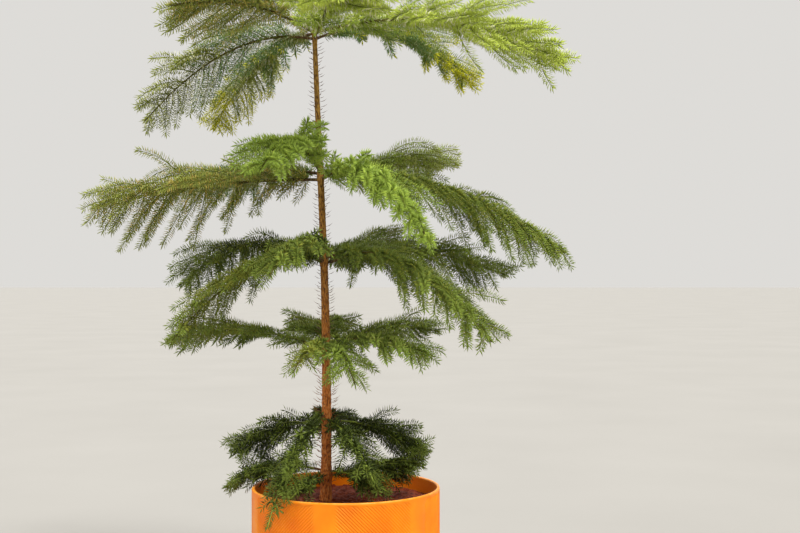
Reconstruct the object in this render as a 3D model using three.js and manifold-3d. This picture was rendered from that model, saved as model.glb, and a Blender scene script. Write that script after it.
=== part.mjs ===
// Norfolk Island pine standing in a ribbed cover pot.
// Millimetres, +Z up; the origin is the centre of the pot's flat underside.
// +X is to the right and +Y away from the viewer when the plant is seen from its front.
import * as THREE from 'three';
import { mergeVertices } from 'three/addons/utils/BufferGeometryUtils.js';
import Module from 'manifold-3d';

const wasm = await Module();
wasm.setup();

// Gap kept between solids that touch in the real plant.
const CLEAR = 0.3;
// Edges shorter than this are closed up once the parts of a solid are fused.
const WELD = 0.04;

const POT = { height: 145, radius: 80, foot: 76, wall: 2.6, floor: 3, chamfer: 4, lip: 1.2, sides: 40 };
const SOIL = { below: 12 };

// Radii, and the shape of the trunk's centre line: it stands left of the pot's middle, leans
// further left by lean at leanHeight, and is faintly wavy from side to side and front to back.
const TRUNK = {
  base: 4.6, taper: 3.5, power: 0.8, tip: 545, sides: 9, stations: 15, spacing: 1.35,
  flare: 2.6, flareFall: 9, offset: -17, lean: 9, leanHeight: 390, leanPower: 1.6,
  wave: 1.2, waveHeight: 260, depth: 2, depthHeight: 150,
};
// Scale needles stand in bands of the bare trunk, each band from one height to another.
const TRUNK_NEEDLES = {
  root: 0.7, sunk: 1.4, out: 6.4, up: 4.8, perBand: 6, turn: 137.5, bandTurn: 220,
  bands: [[70, 104], [132, 178], [206, 250], [282, 366], [400, 452]],
};

const BOUGH = { radius: 1.9, end: 1.3, share: 0.22, sides: 5, stations: 4 };

// A spray is a three-sided blade with its needles gathered into teeth that lean forward:
// waist and crest are the width between teeth and the height at a tooth as shares of the
// largest, below is the share of the height under the centre line, fade the loss by the tip.
const TOOTH = { waist: 0.52, crest: 0.7, below: 0.4, lean: 0.62, fade: 0.5, fadePower: 1.5, fewest: 2 };
const SPRAY = {
  width: 7.2, height: 9.5, root: 1.7, toothPitch: 24, pitch: 33, fewest: 2, most: 6,
  first: 0.25, last: 0.95, jitter: 0.12, length: 0.36, lengthLow: 0.88, lengthHigh: 1.1,
  openAngle: 60, closeAngle: 34, sag: 0.005, steps: 8, shortest: 13, cuts: [1, 0.8, 0.6, 0.42],
};
// The longest sprays stand at share peak of a bough and shorten toward its root and its tip.
const TAPER = { peak: 0.5, rootSpan: 0.42, rootLoss: 0.6, tipLoss: 0.72, tipPower: 1.7 };
const STEM = { width: 5, height: 7, root: 1.3, toothPitch: 26 };

// Heights are above the pot's rim. A bough's row gives its heading seen from above (0 points
// to +X, 90 to +Y), reach, first lift, later drop, the roll of its plane, how far its sprays
// hang (below 0 they rise) and how far they spread, as a share of the usual length.
const TIERS = [
  {
    name: 'tier0', height: 10, limbs: false,
    rows: [
      [5, 84, 22, 14, 20, 1, 0.9], [174, 88, 24, 40, -20, 1, 0.9], [240, 52, 6, 16, 0, 1, 0.9],
      [325, 66, 8, 20, 0, 1, 1],
    ],
  },
  {
    name: 'tier1', height: 58, limbs: false,
    rows: [
      [5, 88, 2, 30, 30, 1, 1], [88, 80, 2, 24, 0, 1, 1], [172, 84, 0, 30, -30, 1, 1],
      [243, 92, 0, 80, -15, 1, 0.8], [302, 80, 2, 44, 15, 1, 1],
    ],
  },
  {
    name: 'tier2', height: 118, limbs: false,
    rows: [
      [18, 102, 62, 48, 30, 1, 0.9], [98, 124, 46, 38, 0, 0.6, 1],
      [172, 140, 60, 52, -12, 1, 0.8], [248, 62, 14, 34, -10, 1, 1],
      [290, 80, 24, 46, 0, 1, 1.2], [325, 104, 30, 34, -10, 0.8, 1.1],
    ],
  },
  {
    name: 'tier3', height: 192, limbs: true,
    rows: [
      [7, 158, 52, 62, 30, 1.6, 0.95], [68, 158, 44, 40, 20, 0.6, 0.9],
      [150, 160, 84, 104, -25, 2, 0.9], [202, 130, 22, 90, -35, 1.8, 1],
      [252, 112, 74, 84, -20, 1.6, 1], [322, 172, 46, 112, 5, 1.2, 1],
    ],
  },
  {
    name: 'tier4', height: 264, limbs: true,
    rows: [
      [46, 152, 64, 44, 30, 1.4, 1.05], [145, 176, 30, 32, -8, 1.8, 0.85],
      [183, 193, 2, 26, -42, 1.5, 0.95], [252, 122, 88, 94, 0, 0.6, 1.1],
      [310, 142, 60, 118, 20, 1, 1], [354, 207, 18, 86, -12, 1.8, 0.92],
    ],
  },
  {
    name: 'tier5', height: 384, limbs: true,
    rows: [
      [32, 165, 80, 106, -8, 0.3, 0.8], [136, 142, 4, 74, 0, 1.5, 0.9],
      [193, 142, 24, 98, -50, 1.6, 0.95], [233, 162, 45, 50, -35, 0.3, 0.9],
      [283, 182, 62, 60, 0, 0, 1], [348, 212, 56, 88, 10, 0, 0.92],
    ],
  },
  {
    name: 'tier6', height: 469, limbs: false,
    rows: [
      [15, 115, 52, 22, 0, -0.3, 1], [88, 110, 52, 20, 0, -0.3, 1],
      [160, 118, 50, 24, 0, -0.3, 1], [232, 112, 54, 20, 0, -0.3, 1],
      [305, 116, 50, 24, 0, -0.3, 1],
    ],
  },
];
// Neighbouring boughs of a tier leave the trunk this far above and below the tier's height.
const STAGGER = 2.5;
const SEED = { first: 5, tier: 97, bough: 13 };
const LEADER = { length: 42, sprays: 5, sprayLength: 48, sprayStart: 0.2 };

const FINISH = {
  pot: { color: 0xf57c12, roughness: 0.45 },
  soil: { color: 0x3a1a10, roughness: 0.95 },
  bark: { color: 0x7a5a44, roughness: 0.85 },
  foliage: { color: 0x5f7f37, roughness: 0.75 },
};

const UP = new THREE.Vector3(0, 0, 1);
const radians = THREE.MathUtils.degToRad;

/** Repeatable run of numbers from 0 to 1. */
class Dice {
  constructor(seed) {
    this.state = seed >>> 0;
  }

  next() {
    this.state = (Math.imul(1664525, this.state) + 1013904223) >>> 0;
    return this.state / 4294967296;
  }

  between(low, high) {
    return low + (high - low) * this.next();
  }
}

/** Centre of the trunk at a height above the pot's rim. */
function trunkPoint(height) {
  const rise = height / TRUNK.leanHeight;
  const lean = TRUNK.lean * Math.sign(rise) * Math.abs(rise) ** TRUNK.leanPower;
  const wave = TRUNK.wave * Math.sin(Math.PI * height / TRUNK.waveHeight);
  const depth = TRUNK.depth * Math.sin(height / TRUNK.depthHeight);
  return new THREE.Vector3(TRUNK.offset + wave - lean, depth, POT.height + height);
}

/** Radius of the trunk at a height above the rim: a steady taper with a flare at its foot. */
function trunkRadius(height) {
  const above = height + SOIL.below;
  const taper = TRUNK.taper * (above / (TRUNK.tip + SOIL.below)) ** TRUNK.power;
  return TRUNK.base - taper + TRUNK.flare * Math.exp(-above / TRUNK.flareFall);
}

/** Manifold solid of plain corner points and triangles. */
function solidOf(points, triangles) {
  const geometry = new THREE.BufferGeometry().setFromPoints(points);
  geometry.setIndex(triangles);
  return solidOfGeometry(geometry);
}

/** Manifold solid of a closed three.js geometry. */
function solidOfGeometry(source) {
  const geometry = source.clone();
  geometry.deleteAttribute('normal');
  geometry.deleteAttribute('uv');
  const welded = mergeVertices(geometry, 1e-4);
  return new wasm.Manifold(new wasm.Mesh({
    numProp: 3,
    vertProperties: new Float32Array(welded.attributes.position.array),
    triVerts: new Uint32Array(welded.index.array),
  }));
}

/** Closed skin over equal rings of points, capped at its start and at its end or drawn to an apex. */
function skin(rings, apex) {
  const sides = rings[0].length;
  const points = rings.flat();
  const triangles = [];
  for (let k = 0; k + 1 < rings.length; k += 1) {
    for (let i = 0; i < sides; i += 1) {
      const j = (i + 1) % sides;
      const low = k * sides;
      const high = low + sides;
      triangles.push(low + i, low + j, high + j, low + i, high + j, high + i);
    }
  }
  const top = (rings.length - 1) * sides;
  for (let i = 1; i + 1 < sides; i += 1) {
    triangles.push(0, i + 1, i);
  }
  if (apex) {
    points.push(apex);
    for (let i = 0; i < sides; i += 1) {
      triangles.push(top + i, top + (i + 1) % sides, points.length - 1);
    }
  } else {
    for (let i = 1; i + 1 < sides; i += 1) {
      triangles.push(top, top + i, top + i + 1);
    }
  }
  return solidOf(points, triangles);
}

/** Unit vectors across and above a direction, the second as near as can be to a hint. */
function crossFrame(direction, normalHint) {
  const side = new THREE.Vector3().crossVectors(direction, normalHint).normalize();
  const normal = new THREE.Vector3().crossVectors(side, direction).normalize();
  return { side, normal };
}

/** Regular ring of points about a centre. */
function roundRing(centre, side, normal, radius, sides) {
  return Array.from({ length: sides }, (_, i) => {
    const angle = 2 * Math.PI * i / sides;
    return centre.clone()
      .addScaledVector(normal, radius * Math.cos(angle))
      .addScaledVector(side, radius * Math.sin(angle));
  });
}

/** Three-cornered ring of a blade: two edges a little below its centre line and one crest. */
function bladeRing(centre, side, normal, width, height) {
  const base = centre.clone().addScaledVector(normal, -TOOTH.below * height);
  return [
    base.clone().addScaledVector(side, width),
    base.clone().addScaledVector(side, -width),
    centre.clone().addScaledVector(normal, (1 - TOOTH.below) * height),
  ];
}

/** Toothed blade along stations of {point, side, normal}; size gives its sections and teeth. */
function toothedBlade(stationAt, length, size) {
  const teeth = Math.max(TOOTH.fewest, Math.round(length / size.toothPitch));
  const rings = [];
  for (let k = 0; k < teeth; k += 1) {
    const fullness = 1 - TOOTH.fade * (k / teeth) ** TOOTH.fadePower;
    const width = size.width * fullness;
    const height = size.height * fullness;
    const waist = stationAt(k / teeth);
    const tooth = stationAt((k + TOOTH.lean) / teeth);
    if (k === 0) {
      rings.push(bladeRing(waist.point, waist.side, waist.normal, size.root, 2 * size.root));
    } else {
      rings.push(bladeRing(waist.point, waist.side, waist.normal, width * TOOTH.waist, height));
    }
    rings.push(bladeRing(tooth.point, tooth.side, tooth.normal, width, height * TOOTH.crest));
  }
  return skin(rings, stationAt(1).point);
}

/** Centre line of a bough; t runs from the trunk's axis at 0 to the bough's tip at 1. */
function spineOf(height, [heading, reach, lift, drop, roll, hang, spread]) {
  const start = trunkPoint(height);
  const along = new THREE.Vector3(Math.cos(radians(heading)), Math.sin(radians(heading)), 0);
  const stationAt = (t) => {
    const point = start.clone().addScaledVector(along, reach * t)
      .addScaledVector(UP, lift * t - drop * t * t);
    const direction = along.clone().multiplyScalar(reach)
      .addScaledVector(UP, lift - 2 * drop * t).normalize();
    const level = crossFrame(direction, UP);
    const normal = level.normal.multiplyScalar(Math.cos(radians(roll)))
      .addScaledVector(level.side, -Math.sin(radians(roll)));
    return { point, direction, ...crossFrame(direction, normal) };
  };
  return { reach, hang, spread, stationAt };
}

/** Share of a bough's length between the trunk's axis and its start just clear of the trunk's skin. */
function skinShare(spine, height, radius) {
  const slope = Math.abs(spine.stationAt(0).direction.z);
  return (trunkRadius(height) + CLEAR + radius * slope) / spine.reach;
}

/** Tapering limb from the trunk's skin to the place where its foliage begins. */
function boughSolid(spine, height) {
  const from = skinShare(spine, height, BOUGH.radius);
  const rings = [];
  for (let k = 0; k < BOUGH.stations; k += 1) {
    const u = k / (BOUGH.stations - 1);
    const { point, side, normal } = spine.stationAt(from + (BOUGH.share - from) * u);
    rings.push(roundRing(point, side, normal, BOUGH.radius + (BOUGH.end - BOUGH.radius) * u, BOUGH.sides));
  }
  return skin(rings);
}

/** Path of one spray: it opens at a wide angle, closes toward the bough's own way and sags. */
function sprayPath(station, hand, length, hang) {
  const outward = station.side.clone().multiplyScalar(hand);
  const points = [station.point.clone()];
  for (let k = 0; k < SPRAY.steps; k += 1) {
    const u = (k + 0.5) / SPRAY.steps;
    const angle = radians(SPRAY.openAngle + (SPRAY.closeAngle - SPRAY.openAngle) * u);
    const heading = station.direction.clone().multiplyScalar(Math.cos(angle))
      .addScaledVector(outward, Math.sin(angle))
      .addScaledVector(UP, -2 * SPRAY.sag * hang * length * u)
      .normalize();
    points.push(points[k].clone().addScaledVector(heading, length / SPRAY.steps));
  }
  return (u) => {
    const k = Math.min(Math.floor(u * SPRAY.steps), SPRAY.steps - 1);
    const point = points[k].clone().lerp(points[k + 1], u * SPRAY.steps - k);
    const direction = points[k + 1].clone().sub(points[k]).normalize();
    return { point, ...crossFrame(direction, station.normal) };
  };
}

/** Share of the longest spray's length that a spray set off at share t of a bough has. */
function sprayShare(t) {
  if (t > TAPER.peak) {
    return 1 - TAPER.tipLoss * ((t - TAPER.peak) / (1 - TAPER.peak)) ** TAPER.tipPower;
  }
  return 1 - TAPER.rootLoss * (TAPER.peak - t) / TAPER.rootSpan;
}

/** True when two boxes come within the clearance of each other. */
function boxesNear(first, second) {
  return first.min.every((low, i) => low - CLEAR <= second.max[i])
    && first.max.every((high, i) => high + CLEAR >= second.min[i]);
}

/** True when a solid keeps clear of every solid already standing near it. */
function keepsClear(candidate, standing) {
  const box = candidate.boundingBox();
  return standing.every((other) => !boxesNear(box, other.box)
    || candidate.minGap(other.solid, 2 * CLEAR) >= CLEAR);
}

/** The longest version of a spray that keeps clear of what stands, or nothing. */
function fittedSpray(station, hand, length, hang, standing) {
  for (const cut of SPRAY.cuts) {
    const shortened = length * cut;
    if (shortened < SPRAY.shortest) {
      return null;
    }
    const blade = toothedBlade(sprayPath(station, hand, shortened, hang), shortened, SPRAY);
    if (keepsClear(blade, standing)) {
      return blade;
    }
  }
  return null;
}

/** One mass of foliage: a needled stem with sprays to both sides, in turn, fused into one solid. */
function foliageSolid(spine, from, dice, standing) {
  const stemAt = (u) => spine.stationAt(from + (1 - from) * u);
  const parts = [toothedBlade(stemAt, spine.reach * (1 - from), STEM)];
  const perSide = THREE.MathUtils.clamp(Math.round(spine.reach / SPRAY.pitch), SPRAY.fewest, SPRAY.most);
  for (let i = 0; i < 2 * perSide; i += 1) {
    const place = (i / 2 + dice.between(-SPRAY.jitter, SPRAY.jitter)) / perSide;
    const t = SPRAY.first + (SPRAY.last - SPRAY.first) * Math.max(place, 0);
    const vigour = dice.between(SPRAY.lengthLow, SPRAY.lengthHigh);
    const length = SPRAY.length * spine.spread * spine.reach * sprayShare(t) * vigour;
    const spray = fittedSpray(spine.stationAt(t), i % 2 ? 1 : -1, length, spine.hang, standing);
    if (spray) {
      parts.push(spray);
    }
  }
  return wasm.Manifold.union(parts).simplify(WELD);
}

/** Scale needle that leaves the trunk at a height and heading and points up and out. */
function trunkNeedle(height, angle) {
  const { root, sunk, out, up } = TRUNK_NEEDLES;
  const outward = new THREE.Vector3(Math.cos(angle), Math.sin(angle), 0);
  const across = new THREE.Vector3(-Math.sin(angle), Math.cos(angle), 0);
  const inner = trunkPoint(height).addScaledVector(outward, trunkRadius(height) - sunk);
  const ring = [[0, -root], [root, root], [-root, root]]
    .map(([sideways, above]) => inner.clone().addScaledVector(across, sideways).addScaledVector(UP, above));
  return skin([ring], inner.clone().addScaledVector(outward, sunk + out).addScaledVector(UP, up));
}

/** Trunk: one tapering round solid with scale needles standing out of it between the tiers. */
function trunkSolid() {
  const rings = [];
  const west = new THREE.Vector3(-1, 0, 0);
  const north = new THREE.Vector3(0, 1, 0);
  for (let k = 0; k < TRUNK.stations; k += 1) {
    const rise = (k / (TRUNK.stations - 1)) ** TRUNK.spacing;
    const height = CLEAR - SOIL.below + (TRUNK.tip + SOIL.below - CLEAR) * rise;
    rings.push(roundRing(trunkPoint(height), west, north, trunkRadius(height), TRUNK.sides));
  }
  const parts = [skin(rings)];
  TRUNK_NEEDLES.bands.forEach(([low, high], band) => {
    for (let i = 0; i < TRUNK_NEEDLES.perBand; i += 1) {
      const height = low + (high - low) * (i + 0.5) / TRUNK_NEEDLES.perBand;
      parts.push(trunkNeedle(height, radians(TRUNK_NEEDLES.turn * i + TRUNK_NEEDLES.bandTurn * band)));
    }
  });
  return wasm.Manifold.union(parts).simplify(WELD);
}

/** Tuft round the trunk's tip: a needled leader with a ring of young sprays rising beside it. */
function leaderSolid() {
  const root = trunkPoint(TRUNK.tip).addScaledVector(UP, CLEAR);
  const axis = (u) => ({
    point: root.clone().addScaledVector(UP, LEADER.length * u),
    side: new THREE.Vector3(1, 0, 0),
    normal: new THREE.Vector3(0, -1, 0),
  });
  const parts = [toothedBlade(axis, LEADER.length, STEM)];
  for (let i = 0; i < LEADER.sprays; i += 1) {
    const angle = 2 * Math.PI * i / LEADER.sprays;
    const outward = new THREE.Vector3(Math.cos(angle), Math.sin(angle), 0);
    const normal = new THREE.Vector3().crossVectors(outward, UP);
    const station = { point: axis(LEADER.sprayStart).point, direction: UP, side: outward, normal };
    const path = sprayPath(station, 1, LEADER.sprayLength, 0);
    parts.push(toothedBlade(path, LEADER.sprayLength, SPRAY));
  }
  return wasm.Manifold.union(parts).simplify(WELD);
}

/** Turned solid from a profile of [radius, height] pairs that begins and ends on the axis. */
function turned(profile) {
  const points = profile.map(([radius, height]) => new THREE.Vector2(radius, height));
  const geometry = new THREE.LatheGeometry(points, POT.sides);
  geometry.rotateX(Math.PI / 2);
  return solidOfGeometry(geometry);
}

/** Straight-sided pot with a small chamfer at its foot, a thin lip and an open mouth. */
function potSolid() {
  const { height, radius, foot, wall, floor, chamfer, lip } = POT;
  const inner = radius - wall;
  return turned([
    [0, 0], [foot, 0], [radius, chamfer], [radius, height - lip], [radius - lip / 2, height],
    [inner + lip / 2, height], [inner, height - lip], [inner, floor], [0, floor],
  ]);
}

/** Filling of the pot up to the soil's level surface. */
function soilSolid() {
  const radius = POT.radius - POT.wall - CLEAR;
  const bottom = POT.floor + CLEAR;
  const top = POT.height - SOIL.below;
  return turned([[0, bottom], [radius, bottom], [radius, top], [0, top]]);
}

/** Named three.js mesh of a finished solid. */
function meshOf(name, solid, finish) {
  const { vertProperties, triVerts } = solid.getMesh();
  const geometry = new THREE.BufferGeometry();
  geometry.setAttribute('position', new THREE.BufferAttribute(new Float32Array(vertProperties), 3));
  geometry.setIndex(new THREE.BufferAttribute(new Uint32Array(triVerts), 1));
  geometry.computeVertexNormals();
  const mesh = new THREE.Mesh(geometry, new THREE.MeshStandardMaterial({ ...finish, metalness: 0 }));
  mesh.name = name;
  return mesh;
}

/** The whole potted plant, from the pot up to the leader. */
function pottedPine() {
  const plant = new THREE.Group();
  plant.name = 'potted_pine';
  const standing = [];
  const add = (name, solid, finish) => {
    plant.add(meshOf(name, solid, finish));
    standing.push({ solid, box: solid.boundingBox() });
  };
  add('pot', potSolid(), FINISH.pot);
  add('soil', soilSolid(), FINISH.soil);
  add('trunk', trunkSolid(), FINISH.bark);

  const limbs = TIERS.flatMap((tier, level) => tier.rows.map((row, order) => {
    const height = tier.height + (order % 2 ? STAGGER : -STAGGER);
    const seed = SEED.first + SEED.tier * level + SEED.bough * order;
    return { tier, height, seed, letter: 'abcdef'[order], spine: spineOf(height, row) };
  }));
  for (const { tier, height, spine, letter } of limbs.filter((limb) => limb.tier.limbs)) {
    add(`${tier.name}_bough_${letter}`, boughSolid(spine, height), FINISH.bark);
  }
  for (const { tier, height, spine, letter, seed } of limbs) {
    const from = tier.limbs ? BOUGH.share + CLEAR / spine.reach : skinShare(spine, height, STEM.root);
    const mass = foliageSolid(spine, from, new Dice(seed), standing);
    add(`${tier.name}_foliage_${letter}`, mass, FINISH.foliage);
  }
  add('leader', leaderSolid(), FINISH.foliage);
  return plant;
}

export default pottedPine();
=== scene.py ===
"""Norfolk Island pine in a ribbed cover pot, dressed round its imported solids.

Sizes in the tables are millimetres; each mesh is written in metres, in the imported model's frame:
+Z up, the origin at the centre of the pot's flat underside, the front toward -Y.
"""
import logging
import math
from dataclasses import dataclass, fields
from enum import Enum

import bpy
import numpy as np
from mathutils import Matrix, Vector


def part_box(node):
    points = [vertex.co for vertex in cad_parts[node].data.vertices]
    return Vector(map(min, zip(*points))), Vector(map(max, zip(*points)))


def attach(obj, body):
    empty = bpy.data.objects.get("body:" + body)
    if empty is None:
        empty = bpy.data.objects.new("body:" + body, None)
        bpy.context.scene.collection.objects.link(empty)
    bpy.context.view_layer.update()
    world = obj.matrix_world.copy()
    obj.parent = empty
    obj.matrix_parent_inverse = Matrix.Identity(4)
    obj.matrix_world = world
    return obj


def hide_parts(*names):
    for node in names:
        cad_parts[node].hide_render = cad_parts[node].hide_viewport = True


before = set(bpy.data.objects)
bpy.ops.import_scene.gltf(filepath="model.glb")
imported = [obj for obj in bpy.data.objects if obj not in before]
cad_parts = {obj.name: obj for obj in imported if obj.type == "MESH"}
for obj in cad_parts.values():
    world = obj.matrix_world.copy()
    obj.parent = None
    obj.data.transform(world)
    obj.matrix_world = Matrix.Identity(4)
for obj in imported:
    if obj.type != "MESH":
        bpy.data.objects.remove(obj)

Array = np.ndarray
Material = bpy.types.Material
Socket = bpy.types.NodeSocket
Span = tuple[float, float]

LOG = logging.getLogger("potted_pine")
# A millimetre in metres and a micron in millimetres
MILLIMETRE = 0.001
MICRON = 0.001
UP = np.array([0.0, 0.0, 1.0])
FRONT = np.array([0.0, -1.0, 0.0])
FULL_TURN = 2.0 * math.pi
GOLDEN_TURN = math.radians(137.5)
# The run of repeatable numbers, the same one that the solids' source draws from
RUN_FACTOR = 1664525
RUN_STEP = 1013904223
RUN_SPAN = 2 ** 32
# The middle part of a noise's values, where nearly all of them lie, and the whole of a share
NOISE_BAND = (0.3, 0.7)
WHOLE = (0.0, 1.0)
# Least length that a vector is divided by
TINY = 1e-12


# Numbers and shells

class Dice:
    """Repeatable run of numbers: state' = (factor state + step) mod span, value state' / span."""

    def __init__(self, seed: int) -> None:
        """Start the run at a seed."""
        self.state = seed % RUN_SPAN

    def between(self, low: float, high: float) -> float:
        """Next number of the run, spread over low to high."""
        self.state = (RUN_FACTOR * self.state + RUN_STEP) % RUN_SPAN
        return low + (high - low) * self.state / RUN_SPAN

    def around(self, reach: float) -> float:
        """Next number of the run, spread over -reach to reach."""
        return self.between(-reach, reach)

    def several(self, count: int, low: float, high: float) -> Array:
        """The next count numbers of the run, spread over low to high."""
        return np.array([self.between(low, high) for _ in range(count)])


@dataclass
class Shell:
    """Points (n, 3) in millimetres, triangles (m, 3) and each triangle's material slot (m,)."""

    points: Array
    faces: Array
    slots: Array


def joined(shells: list[Shell]) -> Shell:
    """One shell of several.

    Args:
        shells: the shells to put together, each kept whole.

    Returns:
        A shell whose triangles are counted on from shell to shell.
    """
    starts = np.cumsum([0] + [len(shell.points) for shell in shells[:-1]])
    return Shell(
        np.concatenate([shell.points for shell in shells]),
        np.concatenate([shell.faces + start for shell, start in zip(shells, starts)]),
        np.concatenate([shell.slots for shell in shells]),
    )


def welded(points: Array, faces: Array) -> Shell:
    """Shell with coincident points made one and the triangles that this closes up dropped.

    Args:
        points: (n, 3) points, some of them in the same place.
        faces: (m, 3) triangles over them.

    Returns:
        A shell in material slot 0, where points within a micron are one point.
    """
    _, first, place = np.unique(np.round(points / MICRON), axis=0, return_index=True, return_inverse=True)
    corners = place.reshape(-1)[faces]
    kept = (corners != np.roll(corners, -1, axis=1)).all(axis=1)
    return Shell(points[first], corners[kept], np.zeros(int(kept.sum()), np.int32))


def ring_faces(rows: int, columns: int) -> Array:
    """Triangles of a grid of rows whose columns close into rings.

    Point (r, c) has number r columns + c. Each cell is split from (r, c) to (r+1, c+1); columns
    run anticlockwise about the way that the rows go, so every face looks outward.

    Args:
        rows: how many rings the grid has.
        columns: how many points each ring has.

    Returns:
        (2 (rows - 1) columns, 3) point numbers.
    """
    start, column = np.arange(rows - 1)[:, None] * columns, np.arange(columns)
    low = (start + column).reshape(-1)
    beside = (start + (column + 1) % columns).reshape(-1)
    first = np.stack([low, beside, beside + columns], axis=1)
    second = np.stack([low, beside + columns, low + columns], axis=1)
    return np.concatenate([first, second])


def unit(vectors: Array) -> Array:
    """Vectors divided by their lengths along the last axis."""
    return vectors / np.maximum(np.linalg.norm(vectors, axis=-1, keepdims=True), TINY)


def cross_frame(direction: Array, hint: Array) -> tuple[Array, Array]:
    """Side = direction x hint and normal = side x direction, both made unit length."""
    side = unit(np.cross(direction, hint))
    return side, unit(np.cross(side, direction))


def blend(low: float | Array, high: float | Array, share: Array) -> Array:
    """Value that goes evenly from low at share 0 to high at share 1."""
    return low + (high - low) * share


def even_turns(count: int) -> Array:
    """Angles 2 pi i / count of places spaced evenly round a circle."""
    return FULL_TURN * np.arange(count) / count


def level_ways(turn: Array) -> Array:
    """Level unit ways (cos a, sin a, 0), with the angles a counted from +X toward +Y."""
    return np.stack([np.cos(turn), np.sin(turn), np.zeros_like(turn)], axis=-1)


def smooth_step(value: Array) -> Array:
    """Soft step 3v^2 - 2v^3 of v held to 0..1."""
    held = np.clip(value, 0.0, 1.0)
    return held * held * (3.0 - 2.0 * held)


def lathe(radii: Array, heights: Array, angles: Array) -> Shell:
    """Welded surface of points (radius sin(a), -radius cos(a), height), a going from -Y toward +X."""
    points = np.stack([radii * np.sin(angles), -radii * np.cos(angles), heights], axis=-1)
    return welded(points.reshape(-1, 3), ring_faces(*radii.shape))


def tubes(centres: Array, normals: Array, radii: Array, around: int, slots: Array | int) -> Shell:
    """Tapering closed tubes along many paths at once.

    Point (path, k, i) = centre + radius (normal cos(a) + side sin(a)), with a = 2 pi i / around
    and side = direction x normal; a point on the path closes each end.

    Args:
        centres: (paths, stations, 3) centre lines.
        normals: (paths, stations or 1, 3) directions to lay the rings' first corners along.
        radii: (paths or 1, stations) radii, or (paths, stations, around) with relief.
        around: corners of a ring.
        slots: the material slot of all tubes, or (stations - 1,) slot of each length.

    Returns:
        All tubes as one shell.
    """
    paths, stations, _ = centres.shape
    side, normal = cross_frame(unit(np.gradient(centres, axis=1)), normals)
    angle = even_turns(around)[:, None]
    spoke = normal[:, :, None] * np.cos(angle) + side[:, :, None] * np.sin(angle)
    reach = radii if radii.ndim == 3 else radii[..., None]
    rings = centres[:, :, None] + spoke * reach[..., None]
    points = np.concatenate([rings.reshape(paths, -1, 3), centres[:, :1], centres[:, -1:]], axis=1)
    size = stations * around + 2
    i = np.arange(around)
    j = (i + 1) % around
    last = (stations - 1) * around
    start = np.stack([np.full(around, size - 2), j, i], axis=1)
    end = np.stack([last + i, last + j, np.full(around, size - 1)], axis=1)
    faces = np.concatenate([ring_faces(stations, around), start, end])
    walls = np.repeat(np.broadcast_to(slots, stations - 1), around)
    per_face = np.concatenate([walls, walls, walls[:around], walls[-around:]])
    numbered = faces[None] + (np.arange(paths) * size)[:, None, None]
    return Shell(points.reshape(-1, 3), numbered.reshape(-1, 3), np.tile(per_face, paths).astype(np.int32))


# Finishes

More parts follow.
